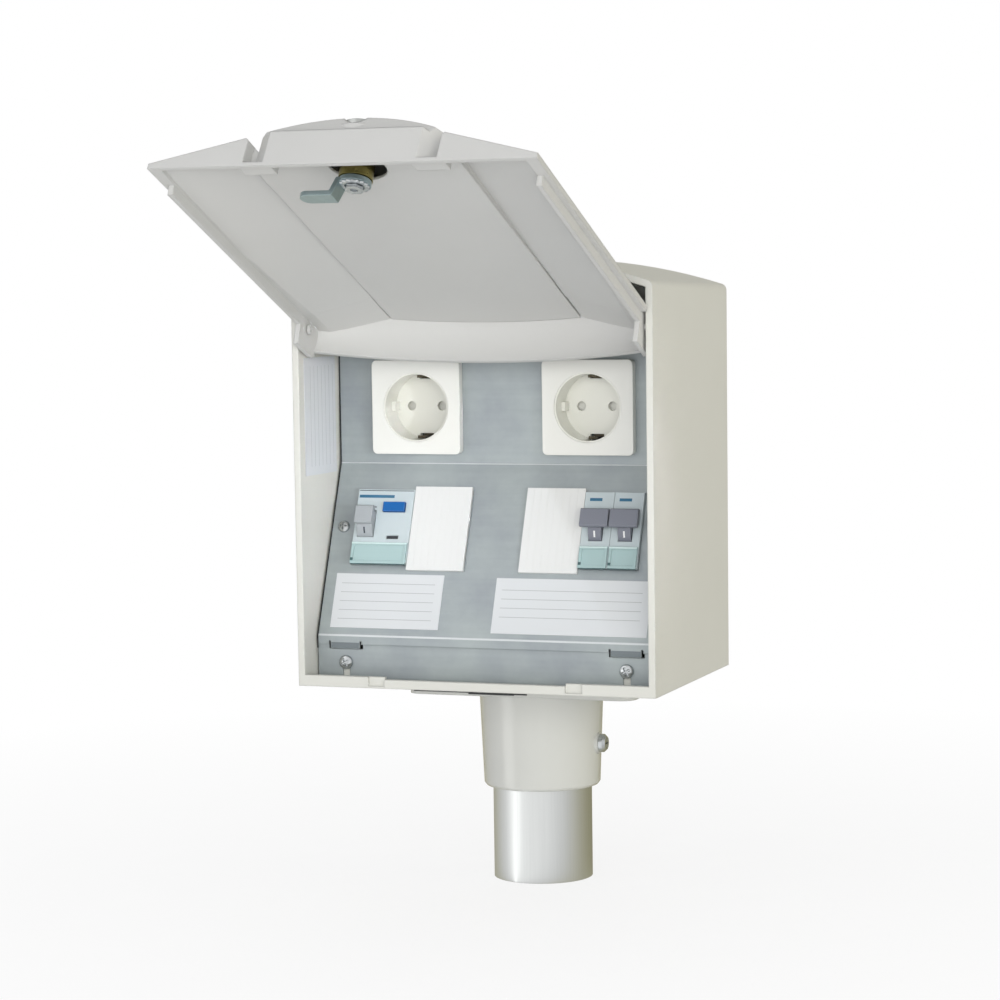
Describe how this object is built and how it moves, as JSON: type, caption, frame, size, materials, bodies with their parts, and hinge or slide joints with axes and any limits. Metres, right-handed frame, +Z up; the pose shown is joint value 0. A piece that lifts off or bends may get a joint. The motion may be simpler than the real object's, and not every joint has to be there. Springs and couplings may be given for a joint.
{
  "type": "garden socket post",
  "caption": "Weather box on a tube with a top-hinged lid standing open over earthed sockets, a residual-current device, circuit breakers and blanking strips.",
  "frame": {"origin": "centre of the tube's lower end", "axes": "+Z up along the tube, the box's open front faces -Y, +X to the viewer's right"},
  "size_m": [0.217, 0.3412, 0.4448],
  "materials": {
    "tube": "satin drawn tube",
    "collar": "light grey enamel on a casting",
    "steel": "zinc-plated screws",
    "rubber": "black rubber",
    "shell": "light warm grey moulding",
    "lid": "light grey moulding",
    "brass": "dull brass",
    "cam": "zinc-plated",
    "plate": "galvanised sheet",
    "cover": "white",
    "insert": "cream white",
    "dark": "dark grey",
    "device": "pale blue grey",
    "toggle": "mid grey",
    "button": "blue",
    "clear": "clear aqua label cover",
    "blank": "white",
    "paper": "blank sticker"
  },
  "bodies": {
    "box": {"post_tube": "tube", "post_collar": "collar", "collar_screw_side": "steel", "collar_screw_back": "steel", "base_gasket": "rubber", "flange_screw_1": "steel", "flange_screw_2": "steel", "flange_screw_3": "steel", "flange_screw_4": "steel", "housing": "shell", "cable_grommet": "rubber", "hinge_pin_left": "lid", "hinge_pin_right": "lid", "bottom_rail": "plate", "mounting_plate": "plate", "plate_screw_1": "steel", "plate_screw_2": "steel", "plate_screw_3": "steel", "plate_screw_4": "steel", "socket_left_cover": "cover", "socket_left_insert": "insert", "socket_left_base": "dark", "socket_left_earth": "steel", "socket_left_screw": "steel", "socket_left_shutter": "insert", "socket_right_cover": "cover", "socket_right_insert": "insert", "socket_right_base": "dark", "socket_right_earth": "steel", "socket_right_screw": "steel", "socket_right_shutter": "insert", "din_rail": "plate", "rail_screw_left": "steel", "rail_screw_right": "steel", "rcd_body": "device", "rcd_cover": "clear", "mcb_1_body": "device", "mcb_1_cover": "clear", "mcb_2_body": "device", "mcb_2_cover": "clear", "blank_left": "blank", "blank_right": "blank", "terminal_block": "blank", "earth_bar": "brass", "label_left": "paper", "label_right": "paper", "label_wall": "paper"},
    "lid": {"lid": "lid", "lid_liner": "lid", "lock_barrel": "brass", "lock_nut": "brass"},
    "lock": {"lock_plug": "steel", "lock_cam": "cam", "cam_screw": "steel"},
    "rcd_toggle": {"rcd_toggle": "toggle"},
    "rcd_test": {"rcd_test": "button"},
    "mcb_1_toggle": {"mcb_1_toggle": "toggle"},
    "mcb_2_toggle": {"mcb_2_toggle": "toggle"}
  },
  "joints": [
    {"name": "lid_hinge", "type": "hinge", "parent": "box", "child": "lid", "pos_m": [0, -0.1128, 0.3346], "axis": [1, 0, 0], "range_deg": [0, 113.5]},
    {"name": "lock_turn", "type": "hinge", "parent": "lid", "child": "lock", "pos_m": [0, -0.27757, 0.41082], "axis": [0, 0.3987, 0.9171], "range_deg": [0, 42]},
    {"name": "rcd_toggle_rock", "type": "hinge", "parent": "box", "child": "rcd_toggle", "pos_m": [-0.0806, -0.07165, 0.21799], "axis": [1, 0, 0], "range_deg": [0, 45]},
    {"name": "mcb_1_toggle_rock", "type": "hinge", "parent": "box", "child": "mcb_1_toggle", "pos_m": [0.0616, -0.07165, 0.21799], "axis": [1, 0, 0], "range_deg": [0, 45]},
    {"name": "mcb_2_toggle_rock", "type": "hinge", "parent": "box", "child": "mcb_2_toggle", "pos_m": [0.0794, -0.07165, 0.21799], "axis": [1, 0, 0], "range_deg": [0, 45]},
    {"name": "rcd_test_press", "type": "slide", "parent": "box", "child": "rcd_test", "axis": [0, 0.9267, -0.3759], "range_m": [0, 0.0012], "stiffness_N_per_m": 800}
  ]
}
